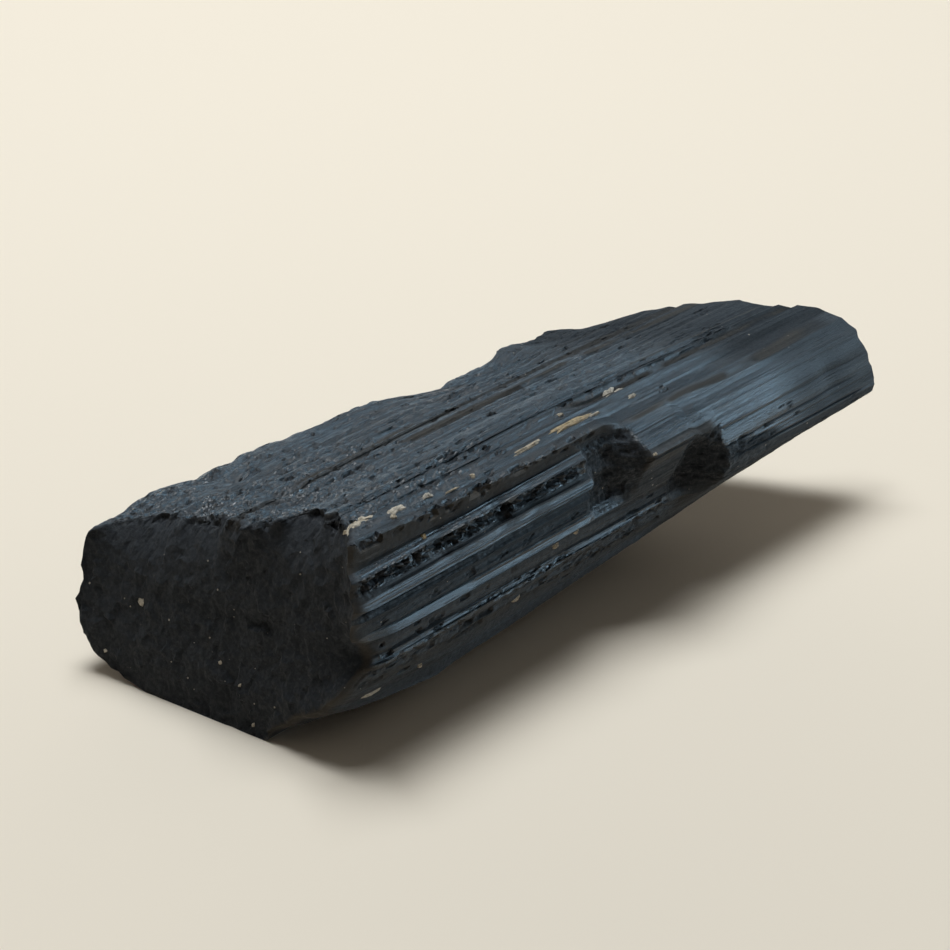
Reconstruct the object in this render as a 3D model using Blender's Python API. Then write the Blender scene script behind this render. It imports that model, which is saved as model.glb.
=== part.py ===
"""A rough black tourmaline crystal lying on its side.

It is one prism that grew along X and was broken off at both ends.  Ribs and grooves run its whole
length.  The near end (low X) is a dull granular break, the far end (high X) closes with a slanting
break.  On the front flank (low Y) the outer skin is missing over the near half, which leaves two
stepped notches across the ribs.  The crystal rests on a flat growth face at z = 0.
"""
import math

import bmesh
import bpy
from mathutils import Vector, geometry, noise

MM = 0.001                     # the shape is written in millimetres

# ---- driving dimensions, mm ----------------------------------------------------------------------
LENGTH = 97.0                  # tip to tip along X
CENTRE_Y = 6.84                # middle of the crystal's width, which becomes y = 0
NEAR_TAPER = 9.0               # the chips of the near rim have faded this far in
FAR_TAPER = 66.0               # the slanting far break squeezes the ribs together from here
STEP_ONE = (41.6, 43.2, 46.6, 50.2)    # brow, foot, foot and brow of the first notch, along X
STEP_TWO = (58.2, 59.8, 61.8, 65.0)    # the same for the second notch
NOTCH_DEPTH = 1.3              # how deep a notch goes below the skin on its near side
NOTCH_STAGGER = 1.0            # how far the notch wanders along X from rib to rib
FINE_RIB = 0.34                # depth of the fine ribs between the main ones
FINE_RIB_RUN = 22.0            # how far along X a fine rib keeps its depth
FINE_RIB_FADE = 9.0            # the fine ribs run out over this length before the far tip
EDGE_SCALLOP = 0.9             # how far the ragged back edge wanders
BREAK_RELIEF = 1.0             # height of the lumps on the two end breaks
BREAK_GRAIN = 2.3              # spacing of the facets on the two end breaks
NEAR_LEAN = 0.2                # the near break leans back by this share of its height
SEED = Vector((3.7, 11.2, 5.9))

# Distances along X at which the skin has a section.  They crowd together at the two notches.
STATIONS = [0, 0.8, 2, 3.6, 5.6, 8, 10.5, 13, 15.5, 18, 20.5, 23, 25.5, 28, 30.5, 33, 35.5, 38, 40,
            41.2, 42.2, 43.2, 44.4, 45.6, 46.8, 48, 49.2, 50.4, 52, 54.5, 57, 58.4, 59.4, 60.4, 61.4,
            62.4, 63.4, 64.4, 65.6, 67.5, 70, 73, 76, 79, 82, 85, 88, 91, 94, LENGTH]


def flank(near, shelf, far, tip, deep_one=1.0, deep_two=1.0):
    """The course of a rib on the broken front flank.

    It is at `near` up to the first notch, at `shelf` between the notches, at `far` behind the
    second one, and runs out to `tip`; each is (y, z).  deep_one and deep_two say how much of the
    full depth each notch has on this rib.
    """
    stops = []
    for (brow, foot, far_foot, far_brow), before, after, deep in (
            (STEP_ONE, near, shelf, deep_one), (STEP_TWO, shelf, far, deep_two)):
        floor_y = before[0] + NOTCH_DEPTH * deep
        floor_z = (before[1] + after[1]) / 2
        stops += [(brow, *before), (foot, floor_y, floor_z), (far_foot, floor_y, floor_z),
                  (far_brow, *after)]
    return [(0, *near)] + stops + [(LENGTH, *tip)]


# Main ribs, grooves and edges, in order round the section, starting under the front flank.
# Each row: name, x where it starts, x where it ends, fine ribs up to the next row, then its course
# as points (x, y, z) in mm, with the underside at z = 0.
RAILS = [
    ("underside front", 0.0, 92.0, 2,
     [(0, 0, 0), (60, 0, 0), (74, -1, 2.6), (92, -6, 9.5)]),
    ("heel", 0.2, 94.2, 3,
     [(0, -3, 2.5), (20, -5, 0.5), (40, -5, 1.2), (60, -5, 2.8), (76, -6, 5), (94, -10.5, 10.6)]),
    ("low ridge", 0.4, 95.0, 3,
     [(0, -8.1, 6), (6, -8.3, 4.6), (20, -8.2, 2.8), (39, -8, 4.1), (59, -8, 5.1), (76, -9, 7),
      (95, -13, 12)]),
    ("low band", 0.8, 95.6, 2,
     [(0, -10.6, 8.6), (20, -10.5, 7.6), (60, -10.6, 8.2), (76, -11.8, 9.4), (96, -14.5, 12.6)]),
    ("third strip foot", 3.6, 96.0, 1,
     flank((-12.1, 11.1), (-11.9, 11.1), (-12.6, 10.2), (-15.2, 12.8), 0, 0.2)),
    ("third strip brow", 4.4, 96.4, 1,
     flank((-11.9, 12.1), (-11.8, 11.9), (-14, 11.4), (-15.6, 13), 0, 0.5)),
    ("lower groove", 4.2, 96.6, 1,
     flank((-11.5, 13.7), (-11.6, 13.3), (-15, 12.4), (-15.8, 13.2), 0, 0.6)),
    ("second strip foot", 2.2, 96.8, 1,
     flank((-13.3, 15.1), (-12.9, 14.8), (-15.8, 13.6), (-16, 13.4), 0.2, 1)),
    ("second strip brow", 0.6, 97.0, 1,
     flank((-13.0, 16.1), (-13.2, 16), (-16.1, 15), (-16.1, 14.2), 0.8, 1)),
    ("middle groove", 0.4, 97.0, 1,
     flank((-12.6, 17.2), (-13.7, 17), (-16, 15.9), (-15.8, 15.2))),
    ("middle rib", 0.2, 97.0, 1,
     flank((-13.3, 18.2), (-14.3, 18), (-15.8, 16.8), (-15.5, 16.2))),
    ("upper crack", 0.2, 96.9, 1,
     flank((-12.5, 18.8), (-14.8, 19.1), (-15.5, 17.8), (-15.2, 17.1), 1, 0.8)),
    ("first strip foot", 0.2, 97.0, 1,
     flank((-13.6, 19.5), (-15.4, 20.1), (-15.1, 18.8), (-14.9, 18.1), 1, 0.5)),
    ("first strip brow", 0.4, 97.0, 1,
     flank((-13.1, 20.5), (-15.7, 20.8), (-14.6, 19.7), (-14.3, 19), 1, 0.1)),
    ("rough band foot", 0.6, 96.9, 1,
     flank((-12.5, 21.1), (-14.8, 21.6), (-13.9, 20.6), (-13.6, 19.9), 1, 0)),
    ("rough band brow", 1.0, 96.8, 1,
     flank((-12.6, 22.8), (-13.7, 22.4), (-13.1, 21.5), (-12.9, 20.8), 0.9, 0)),
    ("brown band foot", 1.4, 96.7, 1,
     flank((-11.2, 23.2), (-12.5, 22.9), (-12.2, 22.2), (-11.9, 21.4), 0.5, 0)),
    ("brown band brow", 1.8, 96.4, 1,
     flank((-11.0, 24.1), (-11.6, 23.5), (-11.6, 22.8), (-11.2, 22.1), 0.2, 0)),
    ("front crest", 2.4, 96.2, 3,
     [(0, -10.6, 26.4), (16, -10.9, 25.3), (32, -11.1, 25), (47, -10.9, 24.7), (50, -10.8, 23.9),
      (66, -10.6, 23.5), (95, -8.8, 22.5)]),
    ("crest slope", 4.6, 92.8, 2,
     [(0, -8, 26.3), (45, -7.6, 25.8), (66, -7.4, 25.1), (93, -6.8, 23.8)]),
    ("far line", 5.4, 92.6, 1,
     [(0, -6.9, 26.5), (44, -6.8, 25.9), (50, -6.7, 25), (66, -6.6, 24.6), (92, -6.4, 23.4)]),
    ("long crack lip", 6.4, 90.6, 1,
     [(0, -5.7, 26.6), (41, -5.7, 26.4), (60, -5.8, 25.7), (91, -5.6, 24.3)]),
    ("long crack", 6.8, 90.3, 1,
     [(0, -5, 25.8), (41, -5, 25.7), (60, -5.1, 25.3), (91, -5, 24)]),
    ("long crack brow", 7.4, 89.0, 3,
     [(0, -4.2, 26.3), (41, -4.2, 26.3), (60, -4.4, 25.7), (90, -4.4, 24.3)]),
    ("top middle", 8.2, 89.0, 4,
     [(0, 0, 25.0), (45, 0, 24.8), (89, -0.5, 24)]),
    ("top second", 4.0, 87.6, 3,
     [(0, 4.4, 23.6), (45, 4, 23.7), (87, 2.8, 23.3)]),
    ("third line brow", 4.8, 86.4, 1,
     [(0, 7.6, 22.7), (45, 7.6, 22.8), (85, 6, 22.7)]),
    ("third line", 5.2, 86.6, 1,
     [(0, 8.4, 21.9), (45, 8.4, 22), (85, 6.8, 22)]),
    ("third line foot", 5.6, 85.6, 4,
     [(0, 9.2, 22.2), (45, 9, 22.4), (85, 7.6, 22.2)]),
    ("top fourth", 6.2, 84.4, 4,
     [(0, 14, 20.6), (30, 14, 20.8), (45, 13.2, 21.1), (60, 11.8, 21.2), (82, 11, 21)]),
    ("top fifth", 7.4, 81.8, 4,
     [(0, 19.4, 19.2), (34, 19.6, 19.1), (48, 18.2, 19.4), (56, 14.8, 19.8), (70, 14.8, 19.9),
      (79, 14.4, 19.6)]),
    ("back shoulder", 7.0, 79.8, 3,
     [(0, 24.6, 17.7), (36, 24.4, 17.7), (49, 22, 18), (56, 16.4, 18.9), (66, 17.4, 18.7),
      (70, 18, 19), (77, 17, 18.5)]),
    ("back edge", 3.0, 78.0, 4,
     [(0, 28.6, 15.9), (6, 29, 16.3), (36, 27.8, 16.5), (44, 24.8, 17.3), (51, 25, 16.7),
      (55, 19.4, 18.2), (64, 20.4, 18), (68, 21.4, 18.3), (75, 20.4, 17.9)]),
    ("back upper", 2.0, 78.0, 4,
     [(0, 29.2, 12), (36, 28.8, 12.4), (50, 26.8, 12.8), (60, 22.4, 13.6), (75, 21.6, 14)]),
    ("back lower", 1.0, 78, 4,
     [(0, 29.8, 8), (36, 28.9, 7.8), (50, 27, 8), (62, 23, 8.6), (76, 20.6, 10)]),
    ("back heel", 0.4, 79, 3,
     [(0, 28.6, 4), (36, 27.6, 3.6), (50, 25.2, 3.6), (64, 21, 4.4), (78, 17, 7.4)]),
    ("underside back", 0.0, 81.0, 3,
     [(0, 25.6, 1.6), (36, 24.4, 1.2), (50, 21.8, 1.3), (64, 17.4, 2.4), (81, 12.4, 6.6)]),
    ("rest back", 0.0, 85.0, 2,
     [(0, 18, 0), (40, 18, 0), (58, 14.5, 0), (70, 12, 2.6), (85, 7, 6.6)]),
    ("rest middle", 0.0, 89.0, 2,
     [(0, 9, 0), (58, 8, 0), (72, 5.4, 2.5), (89, 0.6, 7.9)]),
]
RAIL_NAMES = [row[0] for row in RAILS]
RESTING = ("rest back", "rest middle", "underside front")       # these stay perfectly flat
SCALLOPED = ("back shoulder", "back edge", "back upper")
NOTCHED = RAIL_NAMES[RAIL_NAMES.index("third strip foot"):RAIL_NAMES.index("front crest")]

# Pits and chips, each (x, y, z, radius, depth) in mm; they go in towards the middle of the stone.
PITS = [
    (26, -12.6, 22, 2.2, 0.9), (31.5, -12.6, 21.7, 1.8, 0.7), (16, -12.6, 22.4, 2, 0.7),
    (2.6, -12.4, 13.6, 3, 1.3), (24, -2.6, 25.8, 2.2, 0.6), (12, 3.6, 23.8, 2.4, 0.8),
    (14.8, 9.8, 22, 2.2, 0.7), (9, 17.6, 19.8, 2.2, 0.7), (20, 22, 18.4, 2.4, 0.8),
    (48, 15, 20.4, 2.6, 0.8), (63, 12, 21.2, 2.4, 0.6), (88, -13.6, 17.5, 2.4, 0.7),
    (34, 28.5, 10, 4, 1.1), (14, 28.5, 9, 3.4, 0.9), (58, 21.5, 11, 3.6, 0.9),
]
SECTION_HEART = (7.0, 12.5)    # a point (y, z) well inside every section, mm


def course(points, x):
    """The (y, z) of a rail at x: straight runs between its points."""
    if x <= points[0][0]:
        return points[0][1:]
    for (x0, y0, z0), (x1, y1, z1) in zip(points, points[1:]):
        if x <= x1:
            share = (x - x0) / (x1 - x0)
            return (y0 + (y1 - y0) * share, z0 + (z1 - z0) * share)
    return points[-1][1:]


def place_along(station, start, end):
    """The x of a station on one rail, drawn in towards that rail's own start and end."""
    x = station
    if station < NEAR_TAPER:
        x += start * (1 - station / NEAR_TAPER)
    if station > FAR_TAPER:
        x = FAR_TAPER + (station - FAR_TAPER) * (end - FAR_TAPER) / (LENGTH - FAR_TAPER)
    return x


def wander(x, run, salt):
    """A wandering value about zero along X, which changes over a distance of `run`."""
    coarse = noise.noise(Vector((x / run, salt, 0)) + SEED)
    fine = noise.noise(Vector((x / run * 2.6, salt, 4)) + SEED)
    return coarse + 0.5 * fine


def fine_rib(x, row, rib):
    """How far a fine rib stands out at x: grooves and ribs take turns across each row."""
    turn = -1 if rib % 2 else 0.5
    strength = 0.7 + 0.9 * noise.noise(Vector((x / FINE_RIB_RUN, row * 1.7, rib)) + SEED)
    return FINE_RIB * turn * strength


def section(station):
    """One closed section: each rail's point and its fine ribs, with how far each stands out."""
    corners = []
    for row, (name, start, end, _, points) in enumerate(RAILS):
        x = place_along(station, start, end)
        stagger = NOTCH_STAGGER * noise.noise(Vector((row * 0.9, 1, 7)) + SEED)
        y, z = course(points, x + stagger if name in NOTCHED else x)
        if name in SCALLOPED:
            y += EDGE_SCALLOP * wander(x, 7.5, 1)
            z += 0.4 * EDGE_SCALLOP * wander(x, 7.5, 2)
        corners.append(Vector((x, y, z)))
    outline = []
    fade = min(1.0, (LENGTH - station) / FINE_RIB_FADE)
    for row, (name, _, _, ribs, _) in enumerate(RAILS):
        after = (row + 1) % len(RAILS)
        resting = name in RESTING
        flat = resting and RAIL_NAMES[after] in RESTING
        for rib in range(ribs):
            point = corners[row].lerp(corners[after], rib / ribs)
            still = flat or (resting and rib == 0)
            outline.append((point, 0.0 if still else fade * fine_rib(point.x, row, rib)))
    return outline


def pitting(point):
    """How deep the pits and chips go at a point."""
    depth = 0.0
    for x, y, z, radius, deep in PITS:
        away = (point - Vector((x, y, z))).length / radius
        if away < 1.6:
            depth += deep * math.exp(-away * away)
    return depth


def skin_rings():
    """Every section of the prism, with its ribs and pits worked out from the stone's middle."""
    rings = []
    for station in STATIONS:
        ring = []
        for point, stand in section(station):
            out = Vector((0, point.y - SECTION_HEART[0], point.z - SECTION_HEART[1])).normalized()
            moved = point + out * (stand - pitting(point))
            moved.z = max(moved.z, 0.0)
            ring.append(moved)
        rings.append(ring)
    return rings


def inside(y, z, rim):
    """True where (y, z) is within the rim."""
    within = False
    for here, after in zip(rim, rim[1:] + rim[:1]):
        if (here.z > z) != (after.z > z):
            if y < (after.y - here.y) * (z - here.z) / (after.z - here.z) + here.y:
                within = not within
    return within


def rim_distance(y, z, rim):
    """The distance from (y, z) to the nearest point of the rim, and that point."""
    spot = Vector((0, y, z))
    nearest = min(rim, key=lambda point: (Vector((0, point.y, point.z)) - spot).length)
    return (Vector((0, nearest.y, nearest.z)) - spot).length, nearest


def close_break(mesh, rim_verts, rim, plane, salt):
    """Close an end with a granular break: uneven facets about the plane x = plane(y, z)."""
    grains = []
    low_y, high_y = min(point.y for point in rim), max(point.y for point in rim)
    low_z, high_z = min(point.z for point in rim), max(point.z for point in rim)
    for row in range(int((high_z - low_z) / BREAK_GRAIN)):
        for column in range(int((high_y - low_y) / BREAK_GRAIN)):
            y = low_y + BREAK_GRAIN * (column + 0.5 * (row % 2) + 0.3)
            z = low_z + BREAK_GRAIN * (row + 0.6)
            y += 0.32 * BREAK_GRAIN * wander(y * 1.7 + z, 1.3, salt)
            z += 0.32 * BREAK_GRAIN * wander(z * 1.7 - y, 1.3, salt + 1)
            away, nearest = rim_distance(y, z, rim)
            if away < 0.5 * BREAK_GRAIN or not inside(y, z, rim):
                continue
            lumps = wander(y, 7, salt + 2) + wander(z, 6, salt + 3) + wander(y + 2 * z, 3.4, salt + 4)
            chip = (nearest.x - plane(nearest.y, nearest.z)) * math.exp(-away / BREAK_GRAIN)
            grains.append(Vector((plane(y, z) + chip + BREAK_RELIEF * 0.6 * lumps, y, z)))
    flat = [Vector((point.y, point.z)) for point in rim + grains]
    edges = [(index, (index + 1) % len(rim)) for index in range(len(rim))]
    faces = geometry.delaunay_2d_cdt(flat, edges, [], 1, 1e-7)[2]
    verts = rim_verts + [mesh.verts.new(to_row(point)) for point in grains]
    for face in faces:
        mesh.faces.new([verts[index] for index in face])


def to_row(point):
    """From the sheet's millimetres to the crystal's own frame, in metres."""
    return (point - Vector((LENGTH / 2, CENTRE_Y, 0))) * MM


def black_tourmaline():
    material = bpy.data.materials.new("black_tourmaline")
    material.use_nodes = True
    shader = material.node_tree.nodes["Principled BSDF"]
    shader.inputs["Base Color"].default_value = (0.012, 0.014, 0.018, 1)
    shader.inputs["Roughness"].default_value = 0.42
    shader.inputs["Metallic"].default_value = 0.0
    return material


def build_crystal(collection):
    """Loft the skin through its sections and close it with the two breaks."""
    rings = skin_rings()
    mesh = bmesh.new()
    made = [[mesh.verts.new(to_row(point)) for point in ring] for ring in rings]
    for ring, following in zip(made, made[1:]):
        for index in range(len(ring)):
            after = (index + 1) % len(ring)
            mesh.faces.new((ring[index], ring[after], following[after], following[index]))

    far_rim = rings[-1]
    front = min(far_rim, key=lambda point: point.y)
    back = max(far_rim, key=lambda point: point.y)

    def near_plane(_, z):
        return NEAR_LEAN * z

    def far_plane(y, _):
        return front.x + (back.x - front.x) * (y - front.y) / (back.y - front.y)

    close_break(mesh, made[0], rings[0], near_plane, 10)
    close_break(mesh, made[-1], far_rim, far_plane, 20)
    bmesh.ops.triangulate(mesh, faces=mesh.faces[:])
    bmesh.ops.recalc_face_normals(mesh, faces=mesh.faces[:])

    data = bpy.data.meshes.new("tourmaline_crystal")
    mesh.to_mesh(data)
    mesh.free()
    data.materials.append(black_tourmaline())
    crystal = bpy.data.objects.new("tourmaline_crystal", data)
    collection.objects.link(crystal)
    return crystal


for item in list(bpy.data.objects):
    bpy.data.objects.remove(item, do_unlink=True)
parts = bpy.data.collections.new("tourmaline")
bpy.context.scene.collection.children.link(parts)
build_crystal(parts)
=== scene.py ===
"""A rough black tourmaline crystal lying on its side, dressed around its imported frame."""
import math

import bpy
import numpy as np
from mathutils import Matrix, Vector, geometry, noise
from mathutils.bvhtree import BVHTree


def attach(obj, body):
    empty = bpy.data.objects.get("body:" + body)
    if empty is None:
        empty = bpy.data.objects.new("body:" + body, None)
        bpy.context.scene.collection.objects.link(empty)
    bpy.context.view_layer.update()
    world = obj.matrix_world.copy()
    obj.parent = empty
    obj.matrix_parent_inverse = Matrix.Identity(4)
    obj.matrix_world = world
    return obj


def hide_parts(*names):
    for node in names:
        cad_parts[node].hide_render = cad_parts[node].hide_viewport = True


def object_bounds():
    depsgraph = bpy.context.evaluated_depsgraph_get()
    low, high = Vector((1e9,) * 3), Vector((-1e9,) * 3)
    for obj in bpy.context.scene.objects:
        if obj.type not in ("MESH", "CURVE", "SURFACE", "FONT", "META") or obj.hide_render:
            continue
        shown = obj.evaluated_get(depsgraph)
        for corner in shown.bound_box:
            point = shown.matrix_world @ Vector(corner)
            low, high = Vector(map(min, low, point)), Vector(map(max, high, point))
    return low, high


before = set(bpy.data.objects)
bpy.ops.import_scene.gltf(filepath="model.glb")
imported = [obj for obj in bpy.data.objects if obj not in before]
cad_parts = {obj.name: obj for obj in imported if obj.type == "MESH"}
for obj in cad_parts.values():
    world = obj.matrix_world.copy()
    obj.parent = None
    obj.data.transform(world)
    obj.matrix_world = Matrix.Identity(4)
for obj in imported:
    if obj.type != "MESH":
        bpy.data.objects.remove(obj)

cad_low, cad_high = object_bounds()


def add_object(name, data):
    """An object of this name and data, linked to the scene."""
    made = bpy.data.objects.new(name, data)
    bpy.context.scene.collection.objects.link(made)
    return made


# ---- The view ------------------------------------------------------------------------------------
# A long lens looks down on the dull near end and the notched flank, so that the ribs run away to
# the upper right.
VIEW_TURN = math.radians(51.4)          # how far the view is turned from straight along +Y
VIEW_DROP = math.radians(25.0)          # how steeply it looks down
VIEW_LENS = 136.4                       # mm on a 36 mm wide sensor
VIEW_DISTANCE = 0.430
VIEW_TARGET = Vector((-0.00034, 0.00205, 0.01215))

ahead = Vector((math.sin(VIEW_TURN) * math.cos(VIEW_DROP),
                math.cos(VIEW_TURN) * math.cos(VIEW_DROP), -math.sin(VIEW_DROP)))
camera_data = bpy.data.cameras.new("camera")
camera_data.lens = VIEW_LENS
camera_data.sensor_width = 36.0
camera_data.clip_start = 0.01
camera = add_object("camera", camera_data)
camera.location = VIEW_TARGET - VIEW_DISTANCE * ahead
camera.rotation_euler = ahead.to_track_quat("-Z", "Y").to_euler()
bpy.context.scene.camera = camera

# ---- The crystal's skin --------------------------------------------------------------------------
# One prism of black tourmaline that grew along X.  Its ribs and grooves run the whole length; the
# outer skin of the front flank broke away over the near half and left two notches across the ribs.
# The rows follow those of the solid, with a surface finish for each strip between two of them.
MM = 0.001
LENGTH = 97.0
CENTRE_Y = 6.84
NEAR_TAPER = 9.0
FAR_TAPER = 66.0
STEP_ONE = (41.6, 43.2, 46.6, 50.2)
STEP_TWO = (58.2, 59.8, 61.8, 65.0)
NOTCH_DEPTH = 1.3
NOTCH_STAGGER = 1.0
EDGE_SCALLOP = 0.9

# Each finish is (polish, grit, rust), all from 0 to 1.
FINISHES = {
    "strip": (1.0, 0.0, 0.0), "facet": (1.0, 0.03, 0.0), "satin": (0.6, 0.1, 0.05),
    "groove": (0.12, 0.2, 0.1), "crack": (0.0, 0.2, 0.1), "rough": (0.45, 1.0, 0.0),
    "brown": (0.0, 0.3, 1.0), "stained": (0.25, 0.25, 0.5), "dark": (0.0, 0.35, 0.4),
    "top": (0.45, 0.14, 0.04),
    "back": (0.45, 0.3, 0.1), "rest": (0.3, 0.0, 0.3),
}


def flank(near, shelf, far, tip, deep_one=1.0, deep_two=1.0):
    """The course of a rib on the broken front flank, through the two notches."""
    stops = []
    for (brow, foot, far_foot, far_brow), before, after, deep in (
            (STEP_ONE, near, shelf, deep_one), (STEP_TWO, shelf, far, deep_two)):
        floor_y = before[0] + NOTCH_DEPTH * deep
        floor_z = (before[1] + after[1]) / 2
        stops += [(brow, *before), (foot, floor_y, floor_z), (far_foot, floor_y, floor_z),
                  (far_brow, *after)]
    return [(0, *near)] + stops + [(LENGTH, *tip)]


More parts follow.
